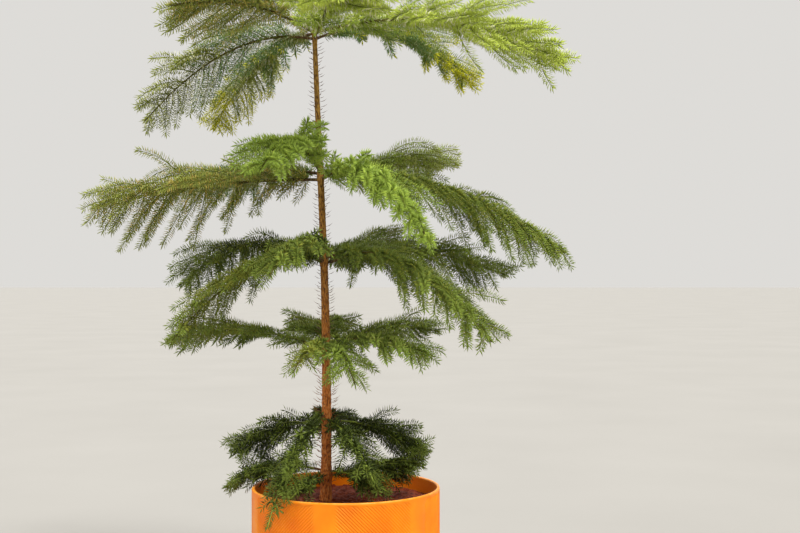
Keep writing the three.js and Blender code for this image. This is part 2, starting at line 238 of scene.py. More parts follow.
class Recipe:
    """A material's node tree while it is put together round its principled shader."""

    def __init__(self, name: str, specular: float) -> None:
        """Start a material whose patterns read the piece's own Object coordinates.

        Args:
            name: the material's name.
            specular: the shader's specular level.
        """
        self.material = bpy.data.materials.new(name)
        self.material.use_nodes = True
        self.tree = self.material.node_tree
        self.shader = self.tree.nodes["Principled BSDF"]
        self.shader.inputs["Specular IOR Level"].default_value = specular
        self.place = self.tree.nodes.new("ShaderNodeTexCoord").outputs["Object"]

    def node(self, kind: str, **inputs: Socket | float | tuple[float, ...]) -> bpy.types.Node:
        """New node of the tree.

        Args:
            kind: its Blender type.
            inputs: what each of its inputs gets, with _ for a space in the input's name: a socket
                is led to it, and any other value stays on it as a constant.

        Returns:
            The node.
        """
        made = self.tree.nodes.new(kind)
        for name, value in inputs.items():
            target = made.inputs[name.replace("_", " ")]
            if isinstance(value, Socket):
                self.tree.links.new(value, target)
            else:
                target.default_value = value
        return made

    def stretched(self, scale: tuple[float, float, float]) -> Socket:
        """Object coordinates multiplied axis by axis by scale."""
        return self.node("ShaderNodeMapping", Vector=self.place, Scale=scale).outputs["Vector"]

    def noise(self, scale: float, detail: float, where: Socket | None = None) -> Socket:
        """Value from 0 to 1, read at where: scale clouds to a metre, with detail rounds of finer ones."""
        node = self.node("ShaderNodeTexNoise", Vector=where or self.place, Scale=scale, Detail=detail)
        return node.outputs["Fac"]

    def height_above(self) -> Socket:
        """Height of each point over the pot's underside, in metres."""
        return self.node("ShaderNodeSeparateXYZ", Vector=self.place).outputs["Z"]

    def span(self, value: Socket, source: Span, target: Span = WHOLE) -> Socket:
        """Value carried evenly from one range to another and held at its ends.

        Args:
            value: the value to carry over.
            source: the range it is read from.
            target: the range it is put into.

        Returns:
            target[0] + (target[1] - target[0]) (value - source[0]) / (source[1] - source[0]).
        """
        node = self.node("ShaderNodeMapRange", Value=value, From_Min=source[0], From_Max=source[1],
                         To_Min=target[0], To_Max=target[1])
        return node.outputs["Result"]

    def ramp(self, value: Socket, places: tuple[float, ...], codes: tuple[int, ...]) -> Socket:
        """Colour that follows a value.

        Args:
            value: the value, from 0 to 1.
            places: where on it the colours stand, low ones first.
            codes: the 0xRRGGBB colour at each place.

        Returns:
            The colour, mixed evenly between places.
        """
        node = self.node("ShaderNodeValToRGB", Fac=value)
        stops = node.color_ramp.elements
        stops[0].position, stops[1].position = places[0], places[-1]
        for place in places[1:-1]:
            stops.new(place)
        for stop, code in zip(stops, codes):
            stop.color = shade(code)
        return node.outputs["Color"]

    def mixed(self, share: Socket, first: Socket, second: Socket) -> Socket:
        """Two colours laid over each other.

        Args:
            share: how much of the second colour shows.
            first: the colour at share 0.
            second: the colour at share 1.

        Returns:
            first (1 - share) + second share.
        """
        node = self.node("ShaderNodeMix", Factor=share)
        node.data_type = "RGBA"
        # The node has an A, a B and a Result for each type of data; these are the colours'
        self.tree.links.new(first, node.inputs[6])
        self.tree.links.new(second, node.inputs[7])
        return node.outputs[2]

    def colour(self, source: Socket) -> None:
        """Lead a colour to the shader."""
        self.tree.links.new(source, self.shader.inputs["Base Color"])

    def rough(self, noise: Socket, gloss: Span) -> None:
        """Lead a roughness to the shader that wanders over gloss with a noise."""
        self.tree.links.new(self.span(noise, NOISE_BAND, gloss), self.shader.inputs["Roughness"])

    def relief(self, noise: Socket, depth: float, strength: float) -> None:
        """Bump the surface by a noise, depth metres deep, of which the share strength shows."""
        node = self.node("ShaderNodeBump", Height=noise, Distance=depth, Strength=strength)
        self.tree.links.new(node.outputs["Normal"], self.shader.inputs["Normal"])


def shade(code: int) -> tuple[float, float, float, float]:
    """Linear colour of a code: ((c + 0.055) / 1.055)^2.4, or c / 12.92 where c is at most 0.04045.

    Args:
        code: the colour as 0xRRGGBB.

    Returns:
        Red, green, blue and an alpha of 1.
    """
    parts = [((code >> shift) & 255) / 255.0 for shift in (16, 8, 0)]
    linear = [((c + 0.055) / 1.055) ** 2.4 if c > 0.04045 else c / 12.92 for c in parts]
    return (linear[0], linear[1], linear[2], 1.0)


@dataclass(frozen=True)
class PotPlastic:
    """Satin orange plastic, faintly clouded, with pale spots of painted highlight on its lip.

    lip_rise is the heights in metres between which the painted highlight on the lip comes in, and
    highlight_band the values of its noise between which a highlighted spot does. In every finish a
    noise is given as its scale and detail, gloss as the least and the most roughness, and relief as
    a bump's depth in metres and its strength.
    """

    body: int = 0xF99008
    deep: int = 0xF07800
    # Pale orange of the painted highlight on the lip
    lip: int = 0xFFAC42
    lip_rise: Span = (0.1436, 0.1448)
    specular: float = 0.28
    clouds: Span = (38.0, 3.0)
    highlight_spots: Span = (160.0, 2.0)
    highlight_band: Span = (0.35, 0.65)
    scuffs: Span = (240.0, 4.0)
    gloss: Span = (0.36, 0.5)
    grain: Span = (1500.0, 3.0)
    relief: Span = (0.0001, 0.25)

    def material(self) -> Material:
        """Clouded orange, with pale spots of painted highlight at the lip.

        Returns:
            The plastic.
        """
        recipe = Recipe("orange_satin_plastic", self.specular)
        clouded = recipe.ramp(recipe.noise(*self.clouds), NOISE_BAND, (self.deep, self.body))
        # Painted highlight: pale spots by a noise, brought in by height at the top of the rim
        highlighted = recipe.ramp(recipe.noise(*self.highlight_spots), self.highlight_band, (self.body, self.lip))
        recipe.colour(recipe.mixed(recipe.span(recipe.height_above(), self.lip_rise), clouded, highlighted))
        recipe.rough(recipe.noise(*self.scuffs), self.gloss)
        recipe.relief(recipe.noise(*self.grain), *self.relief)
        return recipe.material


@dataclass(frozen=True)
class SoilCrumbs:
    """Dark reddish brown potting soil with paler fibres."""

    dark: int = 0x4A1808
    middle: int = 0x7C3012
    fibre: int = 0x8E4C28
    places: tuple[float, float, float] = (0.3, 0.55, 0.78)
    specular: float = 0.25
    crumbs: Span = (420.0, 6.0)
    damp: Span = (200.0, 3.0)
    gloss: Span = (0.8, 0.98)
    grain: Span = (700.0, 8.0)
    relief: Span = (0.0012, 0.8)

    def material(self) -> Material:
        """Crumbs of three browns with deep relief.

        Returns:
            The soil.
        """
        recipe = Recipe("potting_soil", self.specular)
        codes = (self.dark, self.middle, self.fibre)
        recipe.colour(recipe.ramp(recipe.noise(*self.crumbs), self.places, codes))
        recipe.rough(recipe.noise(*self.damp), self.gloss)
        recipe.relief(recipe.noise(*self.grain), *self.relief)
        return recipe.material


@dataclass(frozen=True)
class Bark:
    """Rough brown bark, streaked along the stem.

    Its ridges turn from the orange of painted reflected light, cast by the pot onto the lower trunk,
    to the high colour between the heights of turn, in metres. Its pale streaks are painted highlights.
    """

    name: str = "trunk_bark"
    furrow: int = 0x4C2812
    # Painted reflected light: orange from the pot on the lower trunk's ridges
    reflected_orange_ridge: int = 0xCC7430
    high_ridge: int = 0xA88038
    # Painted highlight: pale grey-pink streaks on the ridges
    pale: int = 0xCC9C60
    turn: Span = (0.2, 0.42)
    low_places: tuple[float, float, float] = (0.3, 0.52, 0.75)
    high_places: tuple[float, float, float] = (0.3, 0.55, 0.78)
    specular: float = 0.3
    grain: Span = (900.0, 7.0)
    stretch: tuple[float, float, float] = (1.0, 1.0, 0.3)
    gloss: Span = (0.75, 0.95)
    relief: Span = (0.0006, 0.7)

    def material(self) -> Material:
        """Streaks of furrow, ridge and pale ridge: painted orange reflected light on the low ridges,
        painted highlights on the pale ones.

        Returns:
            The bark.
        """
        recipe = Recipe(self.name, self.specular)
        grain = recipe.noise(*self.grain, recipe.stretched(self.stretch))
        # Low down the ridges carry painted orange reflected light; the pale stop is a painted highlight
        low = recipe.ramp(grain, self.low_places, (self.furrow, self.reflected_orange_ridge, self.pale))
        high = recipe.ramp(grain, self.high_places, (self.furrow, self.high_ridge, self.pale))
        recipe.colour(recipe.mixed(recipe.span(recipe.height_above(), self.turn), low, high))
        recipe.rough(grain, self.gloss)
        recipe.relief(grain, *self.relief)
        return recipe.material


# The limbs' bark: warmer low ridges of painted reflected light and pale painted highlights, as on the trunk
LIMB_BARK = Bark(name="limb_bark", furrow=0x3A2A1A, reflected_orange_ridge=0x7A5636, high_ridge=0x6E5836, pale=0x988868)


class Tint(Enum):
    """Plain colours of needles, twigs and stems, of which the crown's sprays are dealt theirs."""

    DEEP = 0x384410
    FOREST = 0x6C7C2C
    OLIVE = 0x8A9034
    MID = 0x829438
    GREY = 0xA4AC50
    BLUISH = 0x7A9A54
    BRIGHT = 0x94AC42
    FRESH = 0xAEC44C
    LIME = 0xC8D85A
    YELLOW = 0xDAD830
    # PALE and SAND serve as glints: painted highlights dealt to single needles, SAND a warm one
    PALE = 0xEAEAB8
    SAND = 0xD0BC60
    STEM = 0x94A440
    TWIG = 0x7C8634
    RIB = 0x605A26
    WOOD = 0x6B4A32
    DRY = 0x9C5C30


@dataclass(frozen=True)
class Green:
    """Waxy plant skin of one plain tint, with a gloss that wanders along it."""

    tint: Tint
    specular: float = 0.22
    sheen: Span = (300.0, 2.0)
    gloss: Span = (0.35, 0.55)

    def material(self) -> Material:
        """Skin whose colour stays plain on the shader, with patches of more and less gloss.

        Returns:
            The skin.
        """
        recipe = Recipe(f"needle_{self.tint.name.lower()}", self.specular)
        recipe.shader.inputs["Base Color"].default_value = shade(self.tint.value)
        recipe.rough(recipe.noise(*self.sheen), self.gloss)
        return recipe.material


@dataclass(frozen=True)
class FloorPaint:
    """Pale matte paint of the floor, faintly mottled."""

    light: int = 0xACA9A3
    dark: int = 0xA6A39D
    mottle: Span = (3.0, 4.0)
    mottle_band: Span = (0.2, 0.8)
    roughness: float = 0.9
    specular: float = 0.2

    def material(self) -> Material:
        """Clouds of two greys that lie close together.

        Returns:
            The paint.
        """
        recipe = Recipe("pale_floor", self.specular)
        recipe.shader.inputs["Roughness"].default_value = self.roughness
        recipe.colour(recipe.ramp(recipe.noise(*self.mottle), self.mottle_band, (self.dark, self.light)))
        return recipe.material


# Pieces in the scene

def placed(name: str, data: bpy.types.ID) -> bpy.types.Object:
    """New object of the scene that holds data.

    Args:
        name: the object's name.
        data: its mesh, lamp or camera.

    Returns:
        The object, at the origin.
    """
    made = bpy.data.objects.new(name, data)
    bpy.context.scene.collection.objects.link(made)
    return made


class Workbench:
    """Turns shells into dressed pieces of the scene and shares the tints' materials."""

    def __init__(self) -> None:
        """Make one material for each tint."""
        self.tints = {tint: Green(tint).material() for tint in Tint}

    def piece(self, name: str, shell: Shell, materials: list[Material],
              stands_for: list[str]) -> None:
        """Piece of the scene from a shell, riding on the plant's one body.

        Args:
            name: the piece's name.
            shell: its points in millimetres, its triangles and their slots.
            materials: a material for each slot.
            stands_for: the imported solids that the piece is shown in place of.
        """
        count = len(shell.faces)
        mesh = bpy.data.meshes.new(name)
        mesh.vertices.add(len(shell.points))
        mesh.loops.add(3 * count)
        mesh.polygons.add(count)
        mesh.vertices.foreach_set("co", (shell.points * MILLIMETRE).astype(np.float32).reshape(-1))
        mesh.loops.foreach_set("vertex_index", shell.faces.astype(np.int32).reshape(-1))
        mesh.polygons.foreach_set("loop_start", np.arange(0, 3 * count, 3, dtype=np.int32))
        mesh.polygons.foreach_set("material_index", shell.slots.astype(np.int32))
        mesh.polygons.foreach_set("use_smooth", np.ones(count, bool))
        mesh.update(calc_edges=True)
        for material in materials:
            mesh.materials.append(material)
        made = placed(name, mesh)
        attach(made, "root")
        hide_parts(*stands_for)
        LOG.info("%s: %d triangles", name, count)

    def tinted(self, name: str, shell: Shell, stands_for: list[str]) -> None:
        """Foliage piece that carries only the tints it uses.

        Args:
            name: the piece's name.
            shell: its points and triangles, with slots counted in the order of the tints.
            stands_for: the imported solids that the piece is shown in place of.
        """
        used, slots = np.unique(shell.slots, return_inverse=True)
        trimmed = Shell(shell.points, shell.faces, slots.reshape(-1))
        materials = [self.tints[list(Tint)[number]] for number in used]
        self.piece(name, trimmed, materials, stands_for)


def number_of(tint: Tint) -> int:
    """Place of a tint in the order of the tints."""
    return list(Tint).index(tint)


# Pot and soil

@dataclass
class RibbedPot:
    """Straight-sided pot whose wall has six panels of fine slanting ribs between smooth bands."""

    height: float = 145.0
    radius: float = 80.0
    foot: float = 76.0
    wall: float = 2.6
    floor: float = 3.0
    chamfer: float = 4.0
    edge: float = 0.8
    lip: float = 1.2
    lip_steps: int = 8
    inside_rows: int = 5
    panels: int = 6
    panel_columns: int = 18
    band_columns: int = 4
    band: float = math.radians(11.0)
    first_band: float = math.radians(-10.0)
    pitch: float = 2.0
    rows_per_rib: int = 4
    relief: float = 0.85
    ribs_low: float = 6.0
    ribs_high: float = 142.8
    fade: float = 0.8

    def columns(self) -> tuple[Array, Array, Array]:
        """Columns of the wall, round the pot from where its first panel begins.

        The first panel lowers the ribs' rows by its own width, the next one lifts them back, and
        so on in turn, so the ribs lean 45 degrees; a smooth band follows each panel.

        Returns:
            Angles from the front, the lift that each column gives the ribs' rows, and how much
            of the relief it has.
        """
        pitch = FULL_TURN / self.panels
        panel = pitch - self.band
        ribbed = np.arange(self.panel_columns) / self.panel_columns
        smooth = np.arange(self.band_columns) / self.band_columns
        across = np.concatenate([ribbed, np.ones(self.band_columns)])
        beyond = np.concatenate([np.zeros(self.panel_columns), smooth])
        k = np.arange(self.panels)[:, None]
        angles = self.first_band + self.band / 2 + k * pitch + panel * across + self.band * beyond
        falls = np.where(k % 2, 1.0 - across, across)
        shares = smooth_step(np.minimum(across, 1.0 - across) * panel * self.radius / self.fade)
        return angles.reshape(-1), (-falls * panel * self.radius).reshape(-1), np.tile(shares, self.panels)

    def shell(self) -> Shell:
        """Wall, lip, inside and both faces of the floor as one closed lathe.

        In the ribbed height, row j stands at z = z0 + j dz + lift, held between the ribs' ends,
        with radius R - relief share fade (1 - cos(2 pi j / rows per rib)) / 2; dz is pitch
        sqrt(2) / rows per rib, as a rib leans 45 degrees. Over half a turn of a, the lip bulges
        from the wall's middle by (half wall cos(a), lip sin(a)).

        Returns:
            The pot's surface, closed on its axis under and over the floor.
        """
        angles, lifts, shares = self.columns()
        step = self.pitch * math.sqrt(2.0) / self.rows_per_rib
        count = int(math.ceil((self.ribs_high - self.ribs_low - lifts.min()) / step)) + 1
        j = np.arange(count)[:, None]
        z = np.clip(self.ribs_low + j * step + lifts[None, :], self.ribs_low, self.ribs_high)
        fade = smooth_step(np.minimum(z - self.ribs_low, self.ribs_high - z) / self.fade)
        groove = 0.5 - 0.5 * np.cos(FULL_TURN * j / self.rows_per_rib)
        wall = self.radius - self.relief * groove * shares[None, :] * fade
        inner = self.radius - self.wall
        edge, shoulder = self.edge, self.height - self.lip
        # Rows of (radius, height) below the ribs and above them
        below = np.array([
            (0.0, 0.0), (self.foot - edge, 0.0), (self.foot, 0.0), (self.foot + edge, edge / 2),
            (self.radius - edge / 2, self.chamfer - edge), (self.radius, self.chamfer + edge / 2),
        ])
        turn = np.linspace(0.0, math.pi, self.lip_steps + 1)
        middle, half = self.radius - self.wall / 2, self.wall / 2
        rim = np.column_stack([middle + half * np.cos(turn), shoulder + self.lip * np.sin(turn)])
        down = np.linspace(shoulder - edge, self.floor + edge, self.inside_rows)
        inside = np.column_stack([np.full(self.inside_rows, inner), down])
        bed = [(inner - edge, self.floor), (0.0, self.floor)]
        above = np.concatenate([[(self.radius, shoulder - self.fade)], rim, inside, bed])
        flat = np.ones(len(angles))
        radii = np.concatenate([below[:, :1] * flat, wall, above[:, :1] * flat])
        heights = np.concatenate([below[:, 1:] * flat, z, above[:, 1:] * flat])
        return lathe(radii, heights, angles)

    def make(self, bench: Workbench) -> None:
        """Build and dress the pot."""
        bench.piece("pot_shell", self.shell(), [PotPlastic().material()], ["pot"])


@dataclass
class SoilBed:
    """Soil that fills the pot, crumbly on top."""

    radius: float = 77.1
    top: float = 133.0
    bottom: float = 3.3
    rings: int = 52
    columns: int = 160
    crumbs: int = 520
    crumb_low: float = 1.6
    crumb_high: float = 4.2
    rise: float = 0.55
    settled: float = 0.8
    dip: float = 0.6
    heap: float = 2.6
    seed: int = 411

    def shell(self) -> Shell:
        """Closed disc whose top is the highest of many buried balls.

        Height over the level = max over crumbs of rise (b - d^2 / b), d being the distance to
        the crumb's centre and b its radius, and held between the deepest dip and highest heap.

        Returns:
            The soil's surface, down to the pot's floor.
        """
        dice = Dice(self.seed)
        spread = np.sqrt(dice.several(self.crumbs, 0.0, 1.0)) * self.radius
        turn = dice.several(self.crumbs, 0.0, FULL_TURN)
        ball = dice.several(self.crumbs, self.crumb_low, self.crumb_high)
        centre = np.stack([spread * np.cos(turn), spread * np.sin(turn)], axis=1)
        angles = even_turns(self.columns)
        radii = np.linspace(self.radius, 0.0, self.rings)[:, None] * np.ones(self.columns)
        place = np.stack([radii * np.sin(angles), -radii * np.cos(angles)], axis=-1).reshape(-1, 1, 2)
        gap = np.sum((place - centre[None]) ** 2, axis=2)
        crumb = np.max(self.rise * (ball[None] - gap / ball[None]), axis=1)
        relief = np.clip(crumb, -self.dip, self.heap).reshape(radii.shape)
        relief[-1] = relief[-1].mean()
        flat = np.ones((1, self.columns))
        rows = np.concatenate([0.0 * flat, self.radius * flat, radii])
        heights = np.concatenate([self.bottom * flat, self.bottom * flat, self.top + relief - self.settled])
        return lathe(rows, heights, angles)

    def make(self, bench: Workbench) -> None:
        """Build and dress the soil."""
        bench.piece("soil_bed", self.shell(), [SoilCrumbs().material()], ["soil"])


# Trunk

@dataclass
class Trunk:
    """Slim trunk: it leans a little, tapers steadily and flares at its foot.

    spirals gives the lobes of each spiral of leaf scars, and the millimetres in which it moves on
    by one lobe; scars stand where the spirals cross. waves gives the lobes of each wave of ridges,
    the radians that it moves on by in a millimetre, and the radians that it sways by, once in
    every 2 pi / sway_rate millimetres.
    """

    rim: float = 145.0
    base: float = 4.6
    taper: float = 3.5
    power: float = 0.8
    tip: float = 545.0
    flare: float = 1.0
    flare_fall: float = 9.0
    soil_below: float = 12.0
    offset: float = -17.0
    lean: float = 9.0
    lean_height: float = 390.0
    lean_power: float = 1.6
    wave: float = 1.2
    wave_height: float = 260.0
    depth: float = 2.0
    depth_height: float = 150.0
    rows: int = 560
    columns: int = 32
    scar: float = 0.5
    collar: float = 1.1
    collar_width: float = 4.0
    ridge: float = 0.22
    sunk: float = 1.0
    spirals: tuple[tuple[int, float], ...] = ((3, 9.0), (5, -6.0))
    waves: tuple[tuple[int, float, float], ...] = ((7, 0.21, 1.7), (11, -0.37, 0.0), (4, 0.9, 0.0))
    sway_rate: float = 0.05

    def centre(self, height: Array) -> Array:
        """Centre line at heights h above the rim.

        x = offset + wave sin(pi h / wave height) - lean sign(h) |h / lean height|^power,
        y = depth sin(h / depth height), z = rim + h.

        Args:
            height: heights above the rim, of any shape.

        Returns:
            Points, with x, y and z along a last axis.
        """
        rise = height / self.lean_height
        lean = self.lean * np.sign(rise) * np.abs(rise) ** self.lean_power
        wave = self.wave * np.sin(math.pi * height / self.wave_height)
        depth = self.depth * np.sin(height / self.depth_height)
        return np.stack([self.offset + wave - lean, depth, self.rim + height], axis=-1)

    def radius(self, height: Array) -> Array:
        """Round radius without bark: base - taper (above / whole)^power + flare exp(-above / fall).

        Args:
            height: heights above the rim, of any shape; above is counted from the soil.

        Returns:
            Radii of the same shape.
        """
        above = np.maximum(height + self.soil_below, 0.0)
        steady = self.taper * (above / (self.tip + self.soil_below)) ** self.power
        return self.base - steady + self.flare * np.exp(-above / self.flare_fall)

    def shell(self, whorls: list[float]) -> Shell:
        """Bark: the round trunk with leaf scars in two crossing spirals, ridges and collars.

        Radius = steady radius + (scar max(0, product of cos(n a + 2 pi h / rise) over the spirals)
        + ridge mean of sin(n a + rate h + sway sin(sway rate h)) over the waves
        + collar sum of exp(-((h - whorl) / width)^2) over the whorls) steady / base.

        Args:
            whorls: heights above the rim at which boughs leave the trunk.

        Returns:
            The trunk as one closed tube.
        """
        height = np.linspace(-self.soil_below - self.sunk, self.tip, self.rows)
        h, a = height[:, None], even_turns(self.columns)[None, :]
        steady = self.radius(height)[:, None]
        scars = math.prod(np.cos(n * a + FULL_TURN * h / rise) for n, rise in self.spirals)
        swayed = np.sin(self.sway_rate * h)
        ridges = sum(np.sin(n * a + rate * h + sway * swayed) for n, rate, sway in self.waves)
        relief = self.scar * np.maximum(scars, 0.0) + self.ridge * (ridges / len(self.waves))
        collars = np.exp(-((h - np.array(whorls)) / self.collar_width) ** 2).sum(axis=1, keepdims=True)
        radii = steady + (relief + self.collar * collars) * steady / self.base
        return tubes(self.centre(height)[None], FRONT[None, None], radii[None], self.columns, 0)

    def make(self, bench: Workbench, whorls: list[float]) -> None:
        """Build and dress the trunk."""
        bench.piece("trunk_bark", self.shell(whorls), [Bark().material()], ["trunk"])


@dataclass
class Clearance:
    """Space that foliage stays out of: the pot's wall, what lies under the soil, and the trunk."""

    trunk: Trunk
    inner: float = 76.6
    outer: float = 80.8
    rim: float = 145.8
    soil: float = 133.6
    skin: float = 0.3

    def clear(self, points: Array) -> Array:
        """Which points stand clear.

        Args:
            points: (..., 3) points.

        Returns:
            True for points outside the wall, over the soil and off the trunk's skin.
        """
        across = np.hypot(points[..., 0], points[..., 1])
        wall = (across > self.inner) & (across < self.outer) & (points[..., 2] < self.rim)
        buried = (across <= self.inner) & (points[..., 2] < self.soil)
        height = points[..., 2] - self.trunk.rim
        middle = self.trunk.centre(height)
        off = np.hypot(points[..., 0] - middle[..., 0], points[..., 1] - middle[..., 1])
        inside = (off < self.trunk.radius(height) + self.skin) & (height < self.trunk.tip)
        return ~(wall | buried | inside)


# Needles

# A needle's triangles over its five points: its root, the three corners of its bend and its tip
NEEDLE_FACES = np.array([[0, 2, 1], [0, 3, 2], [0, 1, 3], [1, 2, 4], [2, 3, 4], [3, 1, 4]])


@dataclass(frozen=True)
class NeedleShape:
    """A bent needle of six triangles, which comes to a point at its root and at its tip.

    From the twig's axis, the bend lies bend_out along the outward way and bend_on along the
    twig, the tip tip_out and tip_on, all as shares of the needle's length. At its bend, it stands
    out by width to both sides and by keel toward the twig's tip, in millimetres.
    """

    bend_out: float = 0.52
    bend_on: float = 0.12
    tip_out: float = 0.93
    tip_on: float = 0.3
    width: float = 0.54
    keel: float = 0.44

    def shell(self, roots: Array, outward: Array, ahead: Array, lengths: Array, slots: Array) -> Shell:
        """All needles of one kind.

        Args:
            roots: (n, 3) points on the twig's axis.
            outward: (n, 3) unit ways out from the axis.
            ahead: (n, 3) unit ways along the twig.
            lengths: (n,) lengths.
            slots: (n,) material slot of each needle.

        Returns:
            n closed needles as one shell.
        """
        long = lengths[:, None]
        bend = roots + long * (self.bend_out * outward + self.bend_on * ahead)
        tip = roots + long * (self.tip_out * outward + self.tip_on * ahead)
        along = unit(tip - roots)
        across = unit(np.cross(along, outward))
        above = np.cross(along, across)
        points = np.stack([
            roots, bend + self.width * across, bend + self.keel * above, bend - self.width * across, tip,
        ], axis=1)
        faces = NEEDLE_FACES[None] + (points.shape[1] * np.arange(len(roots)))[:, None, None]
        return Shell(points.reshape(-1, 3), faces.reshape(-1, 3), np.repeat(slots, len(NEEDLE_FACES)))


@dataclass
class Strands:
    """Needled axes with equal numbers of stations: sprays, or the stem of a bough.

    points (s, k, 3) and normals (s, 3) are millimetres and unit vectors. The rest is (s,) or one
    value for all: the strands' lengths; body, glint and tip the numbers of their tints; glints the
    share of needles that are dealt the glint; young the share of the strand from which the tip's
    tint is dealt; vigour a factor on their needles' lengths.
    """

    points: Array
    normals: Array
    lengths: Array | float
    body: Array | int
    glint: Array | int
    tip: Array | int
    glints: Array | float
    young: Array | float
    vigour: Array | float

    def __post_init__(self) -> None:
        """Spread each value that is given once over all strands."""
        # All fields but points and normals
        for part in fields(self)[2:]:
            setattr(self, part.name, np.broadcast_to(getattr(self, part.name), len(self.points)))

    def axes(self, root: float, tip: float, around: int, tint: Tint) -> Shell:
        """Closed twigs along the strands, whose radius goes evenly from root to tip."""
        taper = blend(root, tip, np.linspace(0.0, 1.0, self.points.shape[1]))
        return tubes(self.points, self.normals[:, None], taper[None], around, number_of(tint))

    def at(self, owner: Array, share: Array) -> tuple[Array, ...]:
        """Places on the strands, whose steps are straight.

        Args:
            owner: (n,) number of the strand that each place is on.
            share: (n,) share of that strand's length.

        Returns:
            Points, directions, sides and normals, each (n, 3).
        """
        steps = self.points.shape[1] - 1
        k = np.minimum((share * steps).astype(int), steps - 1)
        low, high = self.points[owner, k], self.points[owner, k + 1]
        part = (share * steps - k)[:, None]
        direction = unit(high - low)
        side, normal = cross_frame(direction, self.normals[owner])
        return blend(low, high, part), direction, side, normal


@dataclass(frozen=True)
class NeedleCoat:
    """Needles all round a strand, in a steady spiral, longest at its root."""

    density: float = 2.6
    fewest: int = 6
    length: float = 6.9
    tip_length: float = 5.2
    shortening: int = 3
    uneven: Span = (0.84, 1.14)
    first: float = 0.03
    last: float = 0.995
    crest: float = 0.1
    turn: float = math.radians(144.6)
    twist: float = 0.45
    sway: float = 0.25
    tuck: float = 0.9
    tuck_from: float = 0.86
    shape: NeedleShape = NeedleShape()

    def shell(self, strands: Strands, seed: int, keeps: Clearance) -> Shell:
        """Needles of all strands.

        Needle i of n on strand s stands at share first + (last - first) (i + jitter) / n, turned by
        a = i turn + s golden turns + jitter; outward = side cos(a) + normal (sin(a) + crest), drawn
        along the strand by a jitter and, at its end, by tuck; length = (L - (L - tip length)
        share^shortening) vigour, jittered.

        Args:
            strands: the axes to clothe.
            seed: start of the jitter's run.
            keeps: tells which needles would touch the pot, the soil or the trunk.

        Returns:
            The needles that stand clear.
        """
        counts = np.maximum((strands.lengths * self.density).astype(int), self.fewest)
        owner = np.repeat(np.arange(len(counts)), counts)
        order = np.arange(len(owner)) - np.repeat(np.cumsum(counts) - counts, counts)
        on, turn, size, way, deal = np.random.default_rng(seed).random((len(owner), 5)).T
        share = self.first + (self.last - self.first) * (order + on) / counts[owner]
        point, ahead, side, normal = strands.at(owner, share)
        angle = order * self.turn + owner * GOLDEN_TURN + (turn - 0.5) * self.twist
        outward = unit(side * np.cos(angle)[:, None] + normal * (np.sin(angle) + self.crest)[:, None])
        steady = self.length - (self.length - self.tip_length) * share ** self.shortening
        length = steady * blend(*self.uneven, size) * strands.vigour[owner]
        forward = self.tuck * smooth_step((share - self.tuck_from) / (1.0 - self.tuck_from))
        lean = unit(outward + ahead * (self.sway * (way - 0.5) + forward)[:, None])
        # Needles dealt the glint tint are painted highlights: glints of light on single needles
        slots = np.where(deal < strands.glints[owner], strands.glint[owner], strands.body[owner])
        slots = np.where(share > strands.young[owner], strands.tip[owner], slots)
        ends = point + length[:, None] * (self.shape.tip_out * lean + self.shape.tip_on * ahead)
        kept = keeps.clear(ends) & keeps.clear((point + ends) / 2)
        return self.shape.shell(point[kept], lean[kept], ahead[kept], length[kept], slots[kept])


# Boughs and their sprays

@dataclass(frozen=True)
class Dress:
    """Tints of one bough: of its inner and outer sprays, of needles with a painted glint and of young ends.

    Sprays nearer the trunk than the share outer take the heart's tint, those beyond the share
    fresh the young one; glints is the share of needles dealt the glint, vigour a factor on the
    lengths of the bough's needles.
    """

    heart: Tint
    body: Tint
    young: Tint
    glint: Tint
    outer: float = 0.4
    fresh: float = 0.86
    glints: float = 0.2
    vigour: float = 1.0


@dataclass(frozen=True)
class Bough:
    """A bough's row, with angles in degrees.

    heading is its way seen from above, from +X toward +Y, and reach how far out it goes; lift and
    drop bend it up and then down, roll turns its fan of sprays, hang and spread are factors on
    their sag and length, dress is its tints, and inner the share of the bough from which its first
    fine sprays stand.
    """

    heading: float
    reach: float
    lift: float
    drop: float
    roll: float
    hang: float
    spread: float
    dress: Dress
    inner: float = 0.2


@dataclass(frozen=True)
class Tier:
    """A whorl of boughs at a height above the rim.

    limbs tells whether its boughs are packed as limbs of their own, which are drawn thicker; rib
    is the tint of its stems.
    """

    name: str
    height: float
    limbs: bool
    rib: Tint
    boughs: tuple[Bough, ...]


DARK = Dress(Tint.DEEP, Tint.DEEP, Tint.FOREST, Tint.FOREST, 0.6, 0.9, 0.25)
ARC = Dress(Tint.DEEP, Tint.FOREST, Tint.FOREST, Tint.DEEP, 0.4, 0.8, 0.4)
SHADE = Dress(Tint.DEEP, Tint.FOREST, Tint.MID, Tint.OLIVE, 0.4, 0.92, 0.2)
ARCHED = Dress(Tint.FOREST, Tint.MID, Tint.MID, Tint.BRIGHT, 0.45, 0.85, 0.22)
QUIET = Dress(Tint.FOREST, Tint.FOREST, Tint.MID, Tint.OLIVE, 0.45, 0.88, 0.2)
BREEZY = Dress(Tint.FOREST, Tint.FOREST, Tint.MID, Tint.OLIVE, 0.4, 0.8, 0.35)
CALM = Dress(Tint.BRIGHT, Tint.GREY, Tint.GREY, Tint.FRESH, 0.3, 0.85, 0.3)
MIDDLE = Dress(Tint.FOREST, Tint.MID, Tint.BRIGHT, Tint.GREY, 0.35, 0.88, 0.2)
DUSKY = Dress(Tint.FOREST, Tint.OLIVE, Tint.MID, Tint.MID, 0.4, 0.92, 0.25)
DUSTY = Dress(Tint.OLIVE, Tint.GREY, Tint.GREY, Tint.SAND, 0.2, 0.9, 0.25)
HAZY = Dress(Tint.OLIVE, Tint.BLUISH, Tint.GREY, Tint.PALE, 0.3, 0.88, 0.22)
